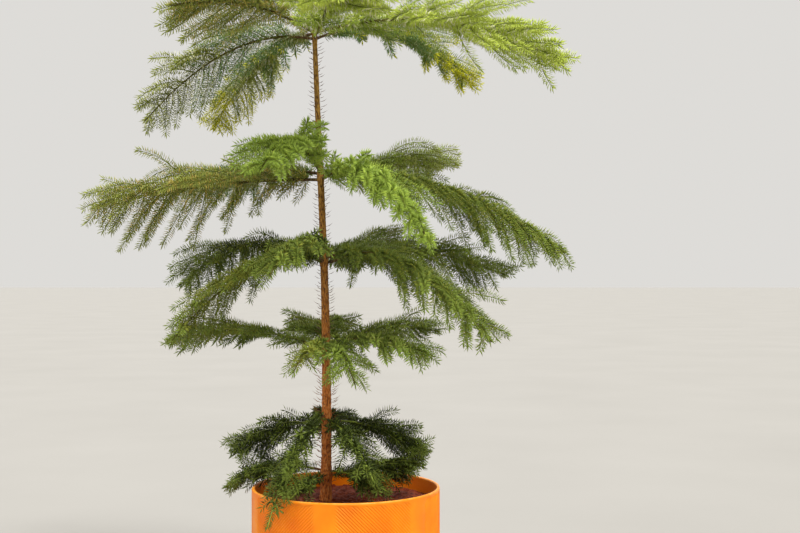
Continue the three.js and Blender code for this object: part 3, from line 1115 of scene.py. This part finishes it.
RUSTY = Dress(Tint.BLUISH, Tint.OLIVE, Tint.GREY, Tint.PALE, 0.58, 0.93, 0.2)
GILDED = Dress(Tint.BLUISH, Tint.MID, Tint.YELLOW, Tint.PALE, 0.55, 0.84, 0.12)
COOL = Dress(Tint.BLUISH, Tint.GREY, Tint.YELLOW, Tint.PALE, 0.45, 0.78, 0.2)
PLUME = Dress(Tint.MID, Tint.BRIGHT, Tint.LIME, Tint.LIME, 0.2, 0.85, 0.3)
SUNNY = Dress(Tint.FRESH, Tint.LIME, Tint.LIME, Tint.PALE, 0.35, 0.75, 0.2, 1.15)
# BRIGHTEST's heart, paler than its body and lime like the plume, is partly painted light laid over the
# shade near the trunk
BRIGHTEST = Dress(Tint.FRESH, Tint.BRIGHT, Tint.BRIGHT, Tint.FRESH, 0.32, 0.75, 0.35, 1.15)

TIERS = (
    Tier("tier0", 10.0, False, Tint.STEM, (
        Bough(5, 84, 22, 14, 20, 1, 0.9, DARK, 0.12),
        Bough(174, 88, 24, 40, -20, 1, 0.9, DARK, 0.12),
        Bough(240, 52, 6, 16, 0, 1, 0.9, DARK, 0.12),
        Bough(325, 66, 8, 20, 0, 1, 1, DARK, 0.12))),
    Tier("tier1", 58.0, False, Tint.STEM, (
        Bough(5, 88, 2, 30, 30, 1, 1, DARK, 0.1),
        Bough(88, 80, 2, 24, 0, 1, 1, DARK, 0.1),
        Bough(172, 84, 0, 30, -30, 1, 1, DARK, 0.1),
        Bough(243, 92, 0, 80, -15, 1, 0.8, ARC, 0.1),
        Bough(302, 80, 2, 44, 15, 1, 1, DARK, 0.1))),
    Tier("tier2", 118.0, False, Tint.RIB, (
        Bough(18, 102, 62, 48, 30, 1, 0.9, SHADE, 0.1),
        Bough(98, 124, 46, 38, 0, 0.6, 1, DUSKY, 0.1),
        Bough(172, 140, 60, 52, -12, 1, 0.8, DUSKY, 0.1),
        Bough(248, 62, 14, 34, -10, 1, 1, DUSKY, 0.1),
        Bough(290, 80, 24, 46, 0, 1, 1.2, ARCHED, 0.1),
        Bough(325, 104, 30, 34, -10, 0.8, 1.1, MIDDLE, 0.1))),
    Tier("tier3", 192.0, True, Tint.RIB, (
        Bough(7, 158, 52, 62, 30, 1.6, 0.95, QUIET, 0.07),
        Bough(68, 158, 44, 40, 20, 0.6, 0.9, DUSKY, 0.07),
        Bough(150, 160, 84, 104, -25, 2, 0.9, SHADE, 0.07),
        Bough(202, 130, 22, 90, -35, 1.8, 1, DUSKY, 0.07),
        Bough(252, 112, 74, 84, -20, 1.6, 1, SHADE, 0.07),
        Bough(322, 172, 46, 112, 5, 1.2, 1, QUIET, 0.07))),
    Tier("tier4", 264.0, True, Tint.RIB, (
        Bough(46, 152, 64, 44, 30, 1.4, 1.05, CALM, 0.1),
        Bough(145, 176, 30, 32, -8, 1.8, 0.85, HAZY, 0.06),
        Bough(183, 193, 2, 26, -42, 1.5, 0.95, DUSTY, 0.06),
        Bough(252, 122, 88, 94, 0, 0.6, 1.1, BRIGHTEST, 0.06),
        Bough(310, 142, 60, 118, 20, 1, 1, BRIGHTEST, 0.06),
        Bough(354, 207, 18, 86, -12, 1.8, 0.92, BREEZY, 0.1))),
    Tier("tier5", 384.0, True, Tint.RIB, (
        Bough(32, 165, 80, 106, -8, 0.3, 0.8, GILDED, 0.1),
        Bough(136, 142, 4, 74, 0, 1.5, 0.9, COOL, 0.08),
        Bough(193, 142, 24, 98, -50, 1.6, 0.95, RUSTY, 0.12),
        Bough(233, 162, 45, 50, -35, 0.3, 0.9, DUSTY),
        Bough(283, 182, 62, 60, 0, 0, 1, SUNNY, 0.12),
        Bough(348, 212, 56, 88, 10, 0, 0.92, SUNNY, 0.12))),
    Tier("tier6", 469.0, False, Tint.STEM, (
        Bough(15, 115, 52, 22, 0, -0.3, 1, SUNNY),
        Bough(88, 110, 52, 20, 0, -0.3, 1, PLUME),
        Bough(160, 118, 50, 24, 0, -0.3, 1, PLUME),
        Bough(232, 112, 54, 20, 0, -0.3, 1, SUNNY),
        Bough(305, 116, 50, 24, 0, -0.3, 1, PLUME))),
)


class Spine:
    """Centre line of a bough; t runs from the trunk's axis at 0 to the bough's tip at 1."""

    def __init__(self, trunk: Trunk, height: float, bough: Bough) -> None:
        """Set the line off from the trunk.

        Args:
            trunk: the trunk it leaves.
            height: the height above the rim at which it does.
            bough: the bough's row.
        """
        heading = math.radians(bough.heading)
        self.bough = bough
        self.start = trunk.centre(np.array(height))
        self.along = np.array([math.cos(heading), math.sin(heading), 0.0])
        # The t at which the line comes out of the trunk
        self.skin = float(trunk.radius(np.array(height))) / bough.reach

    def at(self, t: Array) -> tuple[Array, ...]:
        """Stations of the spine.

        Point = start + along reach t + up (lift t - drop t^2); direction is its derivative made
        unit; the level normal is turned by the roll: normal' = normal cos(roll) - side sin(roll).

        Args:
            t: (n,) shares of the bough.

        Returns:
            Points, directions, sides and normals, each (n, 3).
        """
        bough = self.bough
        rise = (bough.lift * t - bough.drop * t * t)[:, None]
        slope = (bough.lift - 2.0 * bough.drop * t)[:, None]
        point = self.start + self.along * bough.reach * t[:, None] + UP * rise
        direction = unit(self.along * bough.reach + UP * slope)
        side, normal = cross_frame(direction, UP)
        roll = math.radians(bough.roll)
        side, normal = cross_frame(direction, normal * math.cos(roll) - side * math.sin(roll))
        return point, direction, side, normal


@dataclass(frozen=True)
class SprayRule:
    """How sprays stand along a bough; finer ones fill the room between the main ones.

    Where two numbers stand together, they are the least and the most of a draw, save for
    open_close: a spray's angles in degrees to the bough's way, at its root and at its tip.
    """

    pitch: float = 33.0
    fewest: int = 2
    most: int = 6
    first: float = 0.25
    last: float = 0.95
    jitter: float = 0.12
    length: float = 0.36
    uneven: Span = (0.88, 1.1)
    open_close: Span = (60.0, 34.0)
    sag: float = 0.005
    steps: int = 8
    shortest: float = 13.0
    cuts: tuple[float, ...] = (1.0, 0.8, 0.6, 0.42)
    peak: float = 0.5
    root_span: float = 0.42
    root_loss: float = 0.6
    tip_loss: float = 0.72
    tip_power: float = 1.7
    between: int = 3
    main_stray: float = 0.08
    main_tilt: float = 0.2
    stray: float = 0.3
    tilt: float = 0.6
    droop: Span = (0.4, 1.9)
    shift: float = 0.08
    fine: Span = (0.66, 1.08)
    inner_shift: float = 0.02
    inner_fine: Span = (0.62, 0.95)
    furthest: float = 1.03
    fine_seed: int = 7001

    def share(self, t: Array) -> Array:
        """Share of the full length at t: it falls evenly inward of the peak and as a power outward."""
        after = 1.0 - self.tip_loss * (np.maximum(t - self.peak, 0.0) / (1.0 - self.peak)) ** self.tip_power
        return np.where(t > self.peak, after, 1.0 - self.root_loss * (self.peak - t) / self.root_span)

    def finer(self, place: float, hand: float, fine: Dice, size: Span) -> tuple[float, ...]:
        """Row of a finer spray: place, factor on its length, hand, turn, tilt, factor on its sag."""
        return (place, fine.between(*size), hand, fine.around(self.stray), fine.around(self.tilt),
                fine.between(*self.droop))

    def places(self, bough: Bough, seed: int) -> Array:
        """Where sprays stand and how each one grows.

        Spray i of the main ones stands at place (i / 2 + jitter) / per side, to the left and the
        right in turn. Each of its finer companions stands a part of the way on to the next of
        its own hand, and more of them fill the bough from its bare root to its first spray.

        Args:
            bough: the bough's row.
            seed: start of the bough's run of numbers.

        Returns:
            A row for each spray: its share of the bough, length, hand (-1 or 1), the turn of its
            opening angle and the tilt of its plane in radians, and the factor on its sag.
        """
        per_side = min(max(round(bough.reach / self.pitch), self.fewest), self.most)
        dice, fine = Dice(seed), Dice(seed + self.fine_seed)
        parts = self.between + 1
        rows = []
        for i in range(2 * per_side):
            place = (i / 2 + dice.around(self.jitter)) / per_side
            vigour = dice.between(*self.uneven)
            hand = 1.0 if i % 2 else -1.0
            turn, tilt = fine.around(self.main_stray), fine.around(self.main_tilt)
            rows.append((max(place, 0.0), vigour, hand, turn, tilt, 1.0))
            for part in range(1, parts):
                on = place + (part / parts + fine.around(self.shift)) / per_side
                rows.append(self.finer(on, hand, fine, self.fine))
        gap = 1.0 / per_side / parts
        for k in range(int((self.first - bough.inner) / (self.last - self.first) / gap)):
            for hand in (-1.0, 1.0):
                on = -(k + 1) * gap + fine.around(self.inner_shift)
                rows.append(self.finer(on, hand, fine, self.inner_fine))
        table = np.array(rows)
        t = blend(self.first, self.last, np.minimum(table[:, 0], self.furthest))
        lengths = self.length * bough.spread * bough.reach * self.share(t) * table[:, 1]
        return np.column_stack([t, lengths, table[:, 2:]])

    def paths(self, spine: Spine, table: Array, cut: Array) -> tuple[Array, Array]:
        """Paths of sprays: they open at a wide angle, close toward the bough's way and sag.

        Step k has heading direction cos(a) + (side cos(tilt) + normal sin(tilt)) hand sin(a) -
        up 2 sag hang droop length u, made unit, with u = (k + 1/2) / steps and a going evenly
        from the open to the close angle, plus the spray's turn.

        Args:
            spine: the bough's centre line.
            table: rows as places gives them.
            cut: (s,) share of each spray's length that is grown.

        Returns:
            Points (s, steps + 1, 3) and the normals (s, 3) of the stations they leave from.
        """
        t, lengths, hands, turns, tilts, droops = table.T
        lengths = lengths * cut
        point, direction, side, normal = spine.at(t)
        outward = (side * np.cos(tilts)[:, None] + normal * np.sin(tilts)[:, None]) * hands[:, None]
        u = (np.arange(self.steps) + 0.5) / self.steps
        angle = (np.radians(blend(*self.open_close, u)) + turns[:, None])[..., None]
        fall = (-2.0 * self.sag * spine.bough.hang * (droops * lengths)[:, None] * u)[..., None]
        heading = unit(direction[:, None] * np.cos(angle) + outward[:, None] * np.sin(angle) + UP * fall)
        steps = heading * (lengths / self.steps)[:, None, None]
        points = np.concatenate([point[:, None], point[:, None] + np.cumsum(steps, axis=1)], axis=1)
        return points, normal


# Tiers whose sprays stand closer than the rule's own
RULES = {
    "tier0": SprayRule(between=6, tilt=0.9),
    "tier1": SprayRule(between=6, tilt=0.9),
    "tier5": SprayRule(between=4),
}


@dataclass
class Whorl:
    """Boughs, twigs and needles of one tier.

    A bough's run of numbers starts at seeds[0] + seeds[1] level + seeds[2] order, as that of its
    solid does, and the seeds of its tints, of its sprays' needles and of its stem's are counted on
    from there.
    """

    tier: Tier
    level: int
    trunk: Trunk
    rule: SprayRule = SprayRule()
    coat: NeedleCoat = NeedleCoat()
    stem_coat: NeedleCoat = NeedleCoat(density=3.6, length=7.2)
    letters: str = "abcdef"
    seeds: tuple[int, int, int] = (5, 97, 13)
    tint_seed: int = 9001
    coat_seed: int = 17
    stem_seed: int = 29
    stagger: float = 2.5
    strand_from: float = 0.01
    strand_stations: int = 33
    limb_from: float = 0.4
    limb_stations: int = 80
    stem_stations: int = 40
    stem_around: int = 10
    limb_radius: float = 1.2
    stem_radius: float = 0.95
    stem_tip: float = 0.4
    stem_power: float = 0.8
    bead: float = 0.16
    bead_pitch: float = 2.4
    bead_lobes: int = 2
    wood_to: float = 0.12
    twig_radius: float = 0.5
    twig_tip: float = 0.22
    twig_around: int = 3
    tint_jitter: float = 0.15
    young_band: float = 0.25
    young_from: float = 0.72
    old_from: float = 0.9

    def spines(self) -> list[tuple[int, Spine]]:
        """The tier's boughs, which leave the trunk a little lower and higher in turn.

        Returns:
            The seed and the spine of each bough.
        """
        start, level, step = self.seeds
        made = []
        for order, bough in enumerate(self.tier.boughs):
            height = self.tier.height + (self.stagger if order % 2 else -self.stagger)
            made.append((start + level * self.level + step * order, Spine(self.trunk, height, bough)))
        return made

    def sprays(self, seed: int, spine: Spine, keeps: Clearance) -> Strands:
        """Sprays of a bough, each cut back until it stands clear, and left out if that is too short.

        Args:
            seed: start of the bough's run of numbers.
            spine: the bough's centre line.
            keeps: the space to stay out of.

        Returns:
            The sprays, each with its tints.
        """
        table = self.rule.places(spine.bough, seed)
        best = np.zeros(len(table))
        for cut in reversed(self.rule.cuts):
            points, _ = self.rule.paths(spine, table, np.full(len(table), cut))
            fits = keeps.clear(points[:, 1:]).all(axis=1) & (table[:, 1] * cut >= self.rule.shortest)
            best = np.where(fits, cut, best)
        kept = best > 0
        points, normals = self.rule.paths(spine, table[kept], best[kept])
        dress, dice, t = spine.bough.dress, Dice(seed + self.tint_seed), table[kept, 0]
        place = t + dice.several(len(table), -self.tint_jitter, self.tint_jitter)[kept]
        body = np.where(place < dress.outer, number_of(dress.heart), number_of(dress.body))
        body = np.where(place > dress.fresh, number_of(dress.young), body)
        young = np.where(t > dress.fresh - self.young_band, self.young_from, self.old_from)
        return Strands(points, normals, (table[:, 1] * best)[kept], body, number_of(dress.glint),
                       number_of(dress.young), dress.glints, young, dress.vigour)

    def stem(self, spine: Spine) -> Strands:
        """The bough's own needled length, from the trunk's skin to its tip.

        Args:
            spine: the bough's centre line.

        Returns:
            One strand.
        """
        t = np.linspace(spine.skin + self.strand_from, 1.0, self.strand_stations)
        point, _, _, normal = spine.at(t)
        length = float(np.linalg.norm(np.diff(point, axis=0), axis=1).sum())
        dress = spine.bough.dress
        tints = [number_of(tint) for tint in (dress.body, dress.glint, dress.young)]
        return Strands(point[None], normal[len(normal) // 2][None], length, *tints, dress.glints,
                       dress.fresh, 1.0)

    def limb(self, spine: Spine) -> Shell:
        """A bough from inside the trunk to its tip.

        Radius = (tip + (root - tip) (1 - t)^power) (1 + bead max(0, sin(2 pi s / pitch + lobes a))),
        with s the way along it and a the way round.

        Args:
            spine: the bough's centre line.

        Returns:
            A closed tube, with bark in slot 0 near the trunk and green stem in slot 1 beyond.
        """
        stations = self.limb_stations if self.tier.limbs else self.stem_stations
        t = np.linspace(spine.skin * self.limb_from, 1.0, stations)
        point, _, _, normal = spine.at(t)
        root = self.limb_radius if self.tier.limbs else self.stem_radius
        steady = blend(self.stem_tip, root, (1.0 - t) ** self.stem_power)
        wave = (FULL_TURN * (t * spine.bough.reach) / self.bead_pitch)[:, None]
        beads = np.maximum(np.sin(wave + self.bead_lobes * even_turns(self.stem_around)), 0.0)
        radii = steady[:, None] * (1.0 + self.bead * beads)
        slots = np.where(t[:-1] < self.wood_to, 0, 1)
        return tubes(point[None], normal[None], radii[None], self.stem_around, slots)

    def make(self, bench: Workbench, bark: Material, keeps: Clearance) -> None:
        """Build and dress the tier: one piece of limbs, one of twigs, and needles in two halves.

        Args:
            bench: makes the pieces.
            bark: the limbs' bark.
            keeps: the space that foliage stays out of.
        """
        name, spines = self.tier.name, self.spines()
        letters = self.letters[:len(spines)]
        masses = [f"{name}_foliage_{letter}" for letter in letters]
        bare = [f"{name}_bough_{letter}" for letter in letters] if self.tier.limbs else []
        limbs = joined([self.limb(spine) for _, spine in spines])
        bench.piece(f"{name}_limbs", limbs, [bark, bench.tints[self.tier.rib]], bare or masses)
        sprays = [self.sprays(seed, spine, keeps) for seed, spine in spines]
        twigs = [each.axes(self.twig_radius, self.twig_tip, self.twig_around, Tint.TWIG) for each in sprays]
        bench.tinted(f"{name}_twigs", joined(twigs), masses)
        coats = [joined([self.coat.shell(each, seed + self.coat_seed, keeps),
                         self.stem_coat.shell(self.stem(spine), seed + self.stem_seed, keeps)])
                 for each, (seed, spine) in zip(sprays, spines)]
        half = (len(spines) + 1) // 2
        for side, part in (("near", slice(half)), ("far", slice(half, None))):
            bench.tinted(f"{name}_needles_{side}", joined(coats[part]), masses[part])


# Leader and trunk needles

@dataclass(frozen=True)
class Ring:
    """Sprays that rise round the leader.

    start is the share of the leader that they stand at, turn the degrees that the first one is
    turned from +X, and open_close the degrees that they open from the leader's way at their roots
    and at their tips.
    """

    count: int
    length: float
    start: float
    turn: float
    open_close: Span


@dataclass
class Leader:
    """Tuft round the trunk's tip: a needled leader with rings of young sprays beside it.

    tints are those of its strands' body, glint and tip, and shares their glints, young and vigour.
    """

    trunk: Trunk
    length: float = 42.0
    clear: float = 0.3
    rings: tuple[Ring, ...] = (
        Ring(5, 48.0, 0.2, 0.0, (60.0, 34.0)),
        Ring(5, 40.0, 0.12, 36.0, (66.0, 40.0)),
        Ring(4, 31.0, 0.34, 20.0, (44.0, 14.0)),
    )
    steps: int = 8
    twig_radius: float = 0.9
    twig_tip: float = 0.3
    around: int = 6
    seed: int = 811
    tints: tuple[Tint, ...] = (Tint.BRIGHT, Tint.FRESH, Tint.LIME)
    shares: tuple[float, ...] = (0.3, 0.6, 1.1)

    def strand(self, points: Array, normals: Array, length: float) -> Strands:
        """Strands of one length in the leader's own tints and shares."""
        return Strands(points, normals, length, *[number_of(tint) for tint in self.tints], *self.shares)

    def strands(self) -> list[Strands]:
        """The leader and its rings of sprays.

        Step k of a spray has heading up cos(a) + outward sin(a), with a going evenly from the
        ring's open angle to its close angle.

        Returns:
            The leader as one strand, then the strands of each ring.
        """
        root = self.trunk.centre(np.array(self.trunk.tip)) + UP * self.clear
        stem = root + UP * self.length * np.linspace(0.0, 1.0, self.steps + 1)[:, None]
        made = [self.strand(stem[None], FRONT[None], self.length)]
        u = (np.arange(self.steps) + 0.5) / self.steps
        for ring in self.rings:
            outward = level_ways(math.radians(ring.turn) + even_turns(ring.count))
            angle = np.radians(blend(*ring.open_close, u))[None, :, None]
            heading = UP * np.cos(angle) + outward[:, None] * np.sin(angle)
            start = np.repeat((root + UP * self.length * ring.start)[None, None], ring.count, axis=0)
            way = start + np.cumsum(heading * ring.length / self.steps, axis=1)
            points = np.concatenate([start, way], axis=1)
            made.append(self.strand(points, np.cross(outward, UP), ring.length))
        return made

    def make(self, bench: Workbench, keeps: Clearance) -> None:
        """Build and dress the leader's twigs and needles.

        Args:
            bench: makes the pieces.
            keeps: the space that foliage stays out of.
        """
        coat, strands = NeedleCoat(), self.strands()
        twigs = [each.axes(self.twig_radius, self.twig_tip, self.around, Tint.STEM) for each in strands]
        needles = [coat.shell(each, self.seed + order, keeps) for order, each in enumerate(strands)]
        bench.tinted("leader_twigs", joined(twigs), ["leader"])
        bench.tinted("leader_needles", joined(needles), ["leader"])


@dataclass
class TrunkNeedles:
    """Scale needles of the bare trunk, dry low down, that curve up from its bark."""

    trunk: Trunk
    count: int = 620
    low: float = 2.0
    high: float = 540.0
    crowding: float = 1.2
    length: float = 7.6
    dry_length: float = 10.5
    dry_to: float = 110.0
    uneven: Span = (0.7, 1.15)
    sunk: float = 0.8
    seed: int = 977
    shape: NeedleShape = NeedleShape(tip_out=0.9, tip_on=0.4, width=0.5, keel=0.42)

    def make(self, bench: Workbench) -> None:
        """Build and dress the trunk's needles.

        Needle i of n stands i golden turns round, at the share (i / n)^crowding of the height, with
        a jitter in both and in its length.

        Args:
            bench: makes the piece.
        """
        order = np.arange(self.count)
        on, turn, size = np.random.default_rng(self.seed).random((self.count, 3)).T
        height = blend(self.low, self.high, ((order + on) / self.count) ** self.crowding)
        outward = level_ways(order * GOLDEN_TURN + turn)
        dry = height < self.dry_to
        length = np.where(dry, self.dry_length, self.length) * blend(*self.uneven, size)
        roots = self.trunk.centre(height) + outward * (self.trunk.radius(height) - self.sunk)[:, None]
        slots = np.where(dry, number_of(Tint.DRY), number_of(Tint.WOOD))
        shell = self.shape.shell(roots, outward, np.tile(UP, (self.count, 1)), length, slots)
        bench.tinted("trunk_needles", shell, ["trunk"])


# Floor, light and camera

@dataclass(frozen=True)
class Lamp:
    """Far soft lamp.

    It stands turn degrees from the front toward +X and rise degrees over the floor, fills softness
    degrees of the sky, and gives power watts to a square metre.
    """

    name: str
    turn: float
    rise: float
    softness: float
    power: float

    def make(self) -> None:
        """Hang the lamp, turned toward the plant."""
        data = bpy.data.lights.new(self.name, "SUN")
        data.angle = math.radians(self.softness)
        data.energy = self.power
        turned = (math.radians(90.0 - self.rise), 0.0, math.radians(self.turn))
        placed(self.name, data).rotation_euler = turned


@dataclass
class Studio:
    """Pale floor, soft light and the camera at the photograph's angle."""

    floor_half: float = 30.0
    lamps: tuple[Lamp, ...] = (
        Lamp("key", 35.0, 52.0, 14.0, 2.9),
        Lamp("fill", -70.0, 30.0, 50.0, 0.8),
        Lamp("rim", 190.0, 40.0, 20.0, 0.8),
    )
    air: int = 0xF2F0EC
    air_strength: float = 0.82
    eye: tuple[float, float, float] = (0.0461, -1.025, 0.325)
    lens: float = 54.0
    sensor: float = 36.0
    shift: float = 0.0106
    clip: Span = (0.02, 100.0)

    def floor(self) -> None:
        """Flat square floor under the pot."""
        half = self.floor_half
        corners = [(-half, -half, 0.0), (half, -half, 0.0), (half, half, 0.0), (-half, half, 0.0)]
        mesh = bpy.data.meshes.new("floor")
        mesh.from_pydata(corners, [], [(0, 1, 2, 3)])
        mesh.materials.append(FloorPaint().material())
        placed("floor", mesh)

    def lights(self) -> None:
        """A key from the upper front right, a weak one from the left, one from behind, pale air."""
        for lamp in self.lamps:
            lamp.make()
        world = bpy.data.worlds.new("pale_air")
        world.use_nodes = True
        back = world.node_tree.nodes["Background"]
        back.inputs["Color"].default_value = shade(self.air)
        back.inputs["Strength"].default_value = self.air_strength
        bpy.context.scene.world = world

    def camera(self) -> None:
        """Level camera that looks along +Y, with the photograph's framing."""
        data = bpy.data.cameras.new("camera")
        data.lens = self.lens
        data.sensor_width = self.sensor
        data.shift_y = self.shift
        data.clip_start, data.clip_end = self.clip
        made = placed("camera", data)
        made.location = self.eye
        made.rotation_euler = (math.pi / 2, 0.0, 0.0)
        bpy.context.scene.camera = made

    def make(self) -> None:
        """Set up floor, lights, camera and the plain view of colours."""
        self.floor()
        self.lights()
        self.camera()
        bpy.context.scene.view_settings.view_transform = "Standard"


def main() -> None:
    """Build the studio, the pot, the trunk and the crown, in that order."""
    logging.basicConfig(level=logging.INFO, format="%(name)s %(message)s")
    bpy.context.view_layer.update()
    LOG.info("%d packed solids to dress", len(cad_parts))
    Studio().make()
    bench = Workbench()
    RibbedPot(height=float(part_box("pot")[1][2]) / MILLIMETRE).make(bench)
    SoilBed().make(bench)
    trunk = Trunk()
    trunk.make(bench, [tier.height for tier in TIERS])
    TrunkNeedles(trunk).make(bench)
    keeps = Clearance(trunk)
    limb_bark = LIMB_BARK.material()
    for level, tier in enumerate(TIERS):
        Whorl(tier, level, trunk, RULES.get(tier.name, SprayRule())).make(bench, limb_bark, keeps)
    Leader(trunk).make(bench, keeps)


if __name__ == "__main__":
    main()
